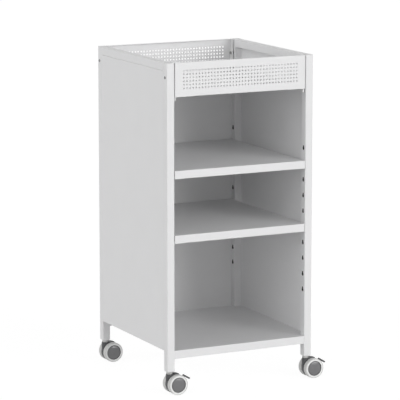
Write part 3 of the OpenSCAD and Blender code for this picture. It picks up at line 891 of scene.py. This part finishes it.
def shelf_clips(level):
    """Clips in the keyhole slots: a gusseted ledge, a tongue and a round peg behind the wall."""
    node = f"shelf_clips_{level}"
    low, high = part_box(node)
    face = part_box("post_front_right")[0].x
    # The ledge and its gusset, inwards from the post's face
    toe, gusset_foot = face - 9 * MM, face - 3 * MM
    ledge, width = 2.6 * MM, 11 * MM
    gusset = [(face, low.z), (face, high.z), (toe, high.z), (toe, high.z - ledge),
              (gusset_foot, low.z)]
    peg_reach, slot_middle = 4.5 * MM, low.z + 5.8 * MM
    peg, tongue = SLOT_FOOT_RADIUS - 0.2 * MM, SLOT_TOP_RADIUS - 0.2 * MM
    foot = slot_middle + SLOT_FOOT_RADIUS - SLOT_HEIGHT / 2
    shoulder = slot_middle + SLOT_HEIGHT / 2 - SLOT_TOP_RADIUS
    ledges = bmesh.new()
    pegs = bmesh.new()
    for way_x, way_y in CORNERS.values():
        y = way_y * post_row()
        slab(ledges, [(way_x * x, z) for x, z in gusset], y, width)
        outline = (keyhole_foot(y, foot, peg, tongue, 16)
                   + [(y + tongue, shoulder), (y - tongue, shoulder)])
        ends = (way_x * (face - OVERSHOOT), way_x * (face + peg_reach))
        prism(pegs, outline, *ends, along_x)
    made = soften(part(f"clips_{level}", ledges), MOULDED_EDGE, 3)
    combine(made, soften(part(f"pegs_{level}", pegs), CUT_EDGE), "UNION")
    hand_over(made, "zinc_steel", "cabinet", node)


def castor_stem(corner):
    """The stem: a pin with a groove for its snap ring, and a collar with softened edges."""
    node = f"stem_{corner}"
    low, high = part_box(node)
    middle = (low + high) / 2
    pin, rim, soft = 4 * MM, 8 * MM, 0.5 * MM
    collar_top = COLLAR_FOOT + 3.5 * MM
    # The edges of the groove under the pin's top
    groove_low, groove_high = high.z - 9 * MM, high.z - 6.2 * MM
    slant, neck = 0.4 * MM, pin - 0.6 * MM
    profile = [(0, low.z), (pin - soft, low.z), (pin, low.z + soft), (pin, COLLAR_FOOT),
               (rim - soft, COLLAR_FOOT), (rim, COLLAR_FOOT + soft), (rim, collar_top - soft),
               (rim - soft, collar_top), (pin, collar_top), (pin, groove_low),
               (neck, groove_low + slant), (neck, groove_high - slant), (pin, groove_high),
               (pin, high.z - 2 * soft), (pin - 2 * soft, high.z), (0, high.z)]
    bm = bmesh.new()
    turned(bm, profile, Matrix.Translation((middle.x, middle.y, 0)), SMALL_ROUND_FACETS)
    hand_over(part(f"pin_{node}", bm), "zinc_steel", f"castor_{corner}", node)


def rod(name, radius, middle, width, facets=ROUND_FACETS):
    """A rod along Y, with its middle and width."""
    bm = bmesh.new()
    slab(bm, round_outline((middle.x, middle.z), radius, facets), middle.y, width)
    return part(name, bm)


def axle_middle(corner, y):
    """The middle of a castor's axle, where it crosses the given Y."""
    low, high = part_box(f"tyre_{corner}_front")
    return Vector(((low.x + high.x) / 2, y, (low.z + high.z) / 2))


def sloped(outline, axle, slope):
    """Points along and above a pedal, turned down by its slope round its pivot."""
    c, s = cos(radians(slope)), sin(radians(slope))
    x, z = axle.x + PIVOT.x, axle.z + PIVOT.z
    return [(x + u * c + v * s, z - u * s + v * c) for u, v in outline]


def castor_housing(corner):
    """The housing between the wheels: a round body with a hood and a neck round the stem."""
    node = f"housing_{corner}"
    stem_low, stem_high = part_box(f"stem_{corner}")
    swivel = (stem_low + stem_high) / 2
    axle = axle_middle(corner, swivel.y)
    outline = (arc((axle.x, axle.z), BODY_RADIUS, HOOD_TO, HOOD_FROM + 360, 60)
               + arc((axle.x, axle.z), HOOD_RADIUS, HOOD_FROM, HOOD_TO, 18))
    bm = bmesh.new()
    slab(bm, rounded_line(outline, HOUSING_EDGE, 3, True), axle.y, HOUSING_WIDTH)
    made = soften(part(f"shell_{node}", bm), HOUSING_EDGE, 3)
    soft, bend = HOUSING_EDGE, 0.25 * MM
    profile = [(0, NECK_FOOT), (NECK_RADIUS - soft, NECK_FOOT), (NECK_RADIUS, NECK_FOOT + soft),
               (NECK_RADIUS, COLLAR_FOOT - soft), (NECK_RADIUS - bend, COLLAR_FOOT - bend),
               (NECK_RADIUS - soft, COLLAR_FOOT), (0, COLLAR_FOOT)]
    bm = bmesh.new()
    turned(bm, profile, Matrix.Translation((swivel.x, swivel.y, 0)), SMALL_ROUND_FACETS)
    neck = part(f"neck_{node}", bm)
    for way in (-1, 1):
        beside = axle + Vector((0, way * (HOUSING_WIDTH / 2 + NECK_RADIUS), 0))
        combine(neck, rod("wheel_room", HOOD_RADIUS, beside, 2 * NECK_RADIUS), "DIFFERENCE")
    combine(made, neck, "UNION")
    if f"brake_pedal_{corner}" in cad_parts:
        pivot = axle + PIVOT
        arm_room = ARM_WIDTH + 2 * SEAT_GAP
        eye_room = rod("eye_room", EYE_RADIUS + SEAT_GAP, pivot, arm_room, SMALL_ROUND_FACETS)
        combine(made, eye_room, "DIFFERENCE")
        far = 2 * BODY_RADIUS
        arm = sloped(block_outline((-EYE_RADIUS, -SEAT_GAP), (far, far)), axle,
                     PEDAL_SLOPE + PEDAL_PRESS)
        bm = bmesh.new()
        slab(bm, arm, axle.y, arm_room)
        combine(made, part("pedal_room", bm), "DIFFERENCE")
    hand_over(made, "castor_plastic", f"castor_{corner}", node)


def brake_pedal(corner):
    """The pedal: an eye and an arm in the housing, and a grooved tread behind it."""
    node = f"brake_pedal_{corner}"
    low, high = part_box(node)
    axle = axle_middle(corner, (low.y + high.y) / 2)
    under, over = PEDAL_LIFT - PEDAL_THICKNESS / 2, PEDAL_LIFT + PEDAL_THICKNESS / 2
    tip = PEDAL_TO - PEDAL_THICKNESS / 2
    # Grooves across the tread, with land between them
    first, groove, land, slant, depth = 2.4 * MM, 1.1 * MM, 1.4 * MM, 0.25 * MM, 0.5 * MM
    top = []
    for k in range(5):
        start = PEDAL_FROM + first + k * (groove + land)
        top += [(start, over), (start + slant, over - depth),
                (start + groove - slant, over - depth), (start + groove, over)]
    outline = ([(PEDAL_FROM, over), (PEDAL_FROM, under)]
               + arc((tip, PEDAL_LIFT), PEDAL_THICKNESS / 2, -90, 90, 10) + top[::-1])
    bm = bmesh.new()
    slab(bm, sloped(outline, axle, PEDAL_SLOPE), axle.y, TREAD_WIDTH)
    made = soften(part(f"tread_{node}", bm), 0.3 * MM)
    pivot = axle + PIVOT
    arm = [(0, 0), (PEDAL_FROM, 0), (PEDAL_FROM + PEDAL_THICKNESS, PEDAL_LIFT),
           (PEDAL_FROM, PEDAL_LIFT)]
    bm = bmesh.new()
    slab(bm, sloped(arm, axle, PEDAL_SLOPE), axle.y, ARM_WIDTH)
    combine(made, part("pedal_arm", bm), "UNION")
    eye = rod("pedal_eye", EYE_RADIUS, pivot, ARM_WIDTH, SMALL_ROUND_FACETS)
    combine(made, eye, "UNION")
    hole = rod("pin_hole", PIVOT_RADIUS + PLAY, pivot, 2 * ARM_WIDTH, SCREW_FACETS)
    combine(made, hole, "DIFFERENCE")
    hand_over(made, "castor_plastic", f"pedal_{corner}", node)


def wheel_place(corner, side):
    """Puts a wheel piece, drawn from its inner face along +Z, on its side of a castor."""
    low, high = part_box(f"tyre_{corner}_{side}")
    way = -1 if side == "front" else 1
    inner = high.y if way < 0 else low.y
    middle = (low + high) / 2
    return Matrix.Translation((middle.x, inner, middle.z)) @ Matrix.Rotation(-way * pi / 2, 4, "X")


def wheel_hub(corner, side):
    """The hub: a rim inside the tyre, a deep seam round the domed cap, and a bored boss inside."""
    node = f"hub_{corner}_{side}"
    outer, inner, boss, hollow, bore_end = 18.95 * MM, 15.95 * MM, 6.5 * MM, 7 * MM, 9.8 * MM
    rim, lip, soft = 12.9 * MM, 0.2 * MM, 0.3 * MM
    seam_out, seam_in, seam_foot = 18.3 * MM, 17.5 * MM, 9.6 * MM
    # The cap is part of a ball that rises from the level of its edge
    edge, rise = 12 * MM, 1.8 * MM
    ball = (outer * outer + rise * rise) / (2 * rise)

    def height(radius):
        return edge + rise - ball + sqrt(ball * ball - radius * radius)

    # The cap's edge is rounded off from its dome down into the seam
    bend, crown = seam_in - 0.3 * MM, seam_in - 0.7 * MM
    profile = [(0, bore_end), (BORE_RADIUS, bore_end), (BORE_RADIUS, soft),
               (BORE_RADIUS + soft, 0), (boss - soft, 0), (boss, soft), (boss, hollow),
               (inner, hollow), (inner, soft), (inner + soft, 0), (outer - soft, 0),
               (outer, soft), (outer, rim - lip), (outer - lip, rim), (seam_out + lip, rim),
               (seam_out, rim - lip), (seam_out, seam_foot), (seam_in, seam_foot),
               (seam_in, height(seam_in) - 0.45 * MM), (bend, height(bend) - 0.08 * MM)]
    profile += [(crown * k / 10, height(crown * k / 10)) for k in range(10, -1, -1)]
    bm = bmesh.new()
    turned(bm, profile, wheel_place(corner, side))
    hand_over(part(f"cap_{node}", bm), "cap_plastic", f"wheel_{corner}_{side}", node)


def wheel_tyre(corner, side):
    """The tyre, with rounded shoulders and a fine groove between its side and its running band."""
    node = f"tyre_{corner}_{side}"
    inner, outer, width, soft = 19 * MM, 25 * MM, 13 * MM, 0.3 * MM
    bend = outer - SHOULDER
    # A fine line round the tread, and a groove round the side
    line, slant, depth = width - 3.6 * MM, 0.15 * MM, 0.3 * MM
    tread = [(outer, SHOULDER), (outer, line), (outer - depth, line + slant),
             (outer - depth, line + 3 * slant), (outer, line + 4 * slant)]
    band, groove = outer - 1.9 * MM, 0.4 * MM
    profile = ([(inner, soft), (inner + soft, 0)]
               + arc((bend, SHOULDER), SHOULDER, -90, 0, 6)[:-1] + tread
               + arc((bend, width - SHOULDER), SHOULDER, 0, 90, 6)
               + [(band + groove / 2, width), (band + groove / 2, width - groove),
                  (band - groove / 2, width - groove), (band - groove / 2, width),
                  (inner + soft, width), (inner, width - soft), (inner, soft)])
    place = wheel_place(corner, side)
    bm = bmesh.new()
    turned(bm, profile, place)
    made = part(f"ring_{node}", bm)
    back = place.inverted()
    running = made.data.attributes.new("running", "FLOAT", "POINT")
    for vertex, value in zip(made.data.vertices, running.data):
        radius = (back @ vertex.co).xy.length
        value.value = float(radius > band)
    hand_over(made, "tread", f"wheel_{corner}_{side}", node)


def axles_and_pins():
    """Gives these plain pieces of the frame their finish."""
    for name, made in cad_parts.items():
        if name.startswith(("axle_", "pedal_pin_")):
            for seat in made.material_slots:
                seat.material = FINISH["zinc_steel"]


def bookcase():
    """The frame, the sheets and the tray."""
    for corner in CORNERS:
        post(corner)
    post_plugs()
    foot_sockets()
    for side, way in (("left", -1), ("right", 1)):
        top_rail(side)
        side_panel(side, way)
    back_panel()
    for side, way in (("front", -1), ("back", 1)):
        rim_panel(side, way)
    tray_floor()
    bottom_shelf()
    for level in ("upper", "lower"):
        lift_out_shelf(f"shelf_{level}", f"{level}_shelf")
        shelf_clips(level)
    tray_brackets()
    tray_screws()
    tray_nuts()
    tray_spacers()


def castors():
    """The four castors."""
    for corner in CORNERS:
        castor_stem(corner)
        castor_housing(corner)
        for side in ("front", "back"):
            wheel_hub(corner, side)
            wheel_tyre(corner, side)
        if f"brake_pedal_{corner}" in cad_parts:
            brake_pedal(corner)
    axles_and_pins()


def camera():
    """The photograph's view: from the front, a little left and above."""
    lens = bpy.data.cameras.new("studio_camera")
    lens.lens = CAMERA_LENS
    made = bpy.data.objects.new("studio_camera", lens)
    made.location = CAMERA_PLACE
    made.rotation_euler = (radians(90 - CAMERA_TILT), 0, radians(-CAMERA_BEARING))
    bpy.context.scene.collection.objects.link(made)
    bpy.context.scene.camera = made


def seen_directly(tree):
    """1 on rays that show the background: camera, glossy and transmission rays."""
    rays = ("Is Camera Ray", "Is Glossy Ray", "Is Transmission Ray")
    camera_ray, glossy, through = (tree.add("ShaderNodeLightPath", output=ray) for ray in rays)
    return camera_ray + glossy + through


def soft_lamp(name, bearing, rise, spread, energy):
    """A sun as wide as its spread in degrees, from a bearing right of the front and a rise."""
    lamp = bpy.data.lights.new(name, "SUN")
    lamp.energy = energy
    lamp.angle = radians(spread)
    made = bpy.data.objects.new(name, lamp)
    turn = radians(bearing)
    towards = Vector((sin(turn), -cos(turn), tan(radians(rise))))
    made.rotation_euler = towards.to_track_quat("Z", "Y").to_euler()
    bpy.context.scene.collection.objects.link(made)


def studio():
    """A white room, dimmer overhead, with a key light from the right front and a pale floor."""
    world = bpy.data.worlds.new("studio")
    bpy.context.scene.world = world
    tree = emptied(world)
    way = tree.add("ShaderNodeTexCoord", output="Generated")
    rise = tree.add("ShaderNodeSeparateXYZ", None, {"Vector": way}, "Z")
    direct = seen_directly(tree)
    fill_level = ROOM_LIGHT - rise * rise * ROOM_LIGHT
    level = direct + (1 - direct) * fill_level
    room = tree.add("ShaderNodeBackground", None, {"Color": (1, 1, 1, 1), "Strength": level})
    tree.add("ShaderNodeOutputWorld", None, {"Surface": room})

    soft_lamp("key_light", bearing=29, rise=12, spread=30, energy=1.19)
    soft_lamp("side_light", bearing=-75, rise=15, spread=60, energy=0.78)

    material = bpy.data.materials.new("studio_floor")
    tree = emptied(material)
    matt = tree.add("ShaderNodeBsdfDiffuse", None, {"Color": (FLOOR_TONE,) * 3 + (1,)})
    glow = tree.add("ShaderNodeEmission", None, {"Color": (1, 1, 1, 1), "Strength": FLOOR_GLOW})
    blended = tree.add("ShaderNodeMixShader", None,
                       {0: seen_directly(tree) * FLOOR_GLOW_SHARE, 1: matt, 2: glow})
    tree.add("ShaderNodeOutputMaterial", None, {"Surface": blended})
    bm = bmesh.new()
    corners = block_outline((-FLOOR_REACH, -FLOOR_REACH), (FLOOR_REACH, FLOOR_REACH))
    fill(bm, [(x, y, 0) for x, y in corners])
    floor = part("studio_floor", bm, facing=(0, 0, 1))
    floor.data.materials.append(material)
    bpy.context.scene.view_settings.view_transform = "Standard"


camera()
studio()
bookcase()
castors()
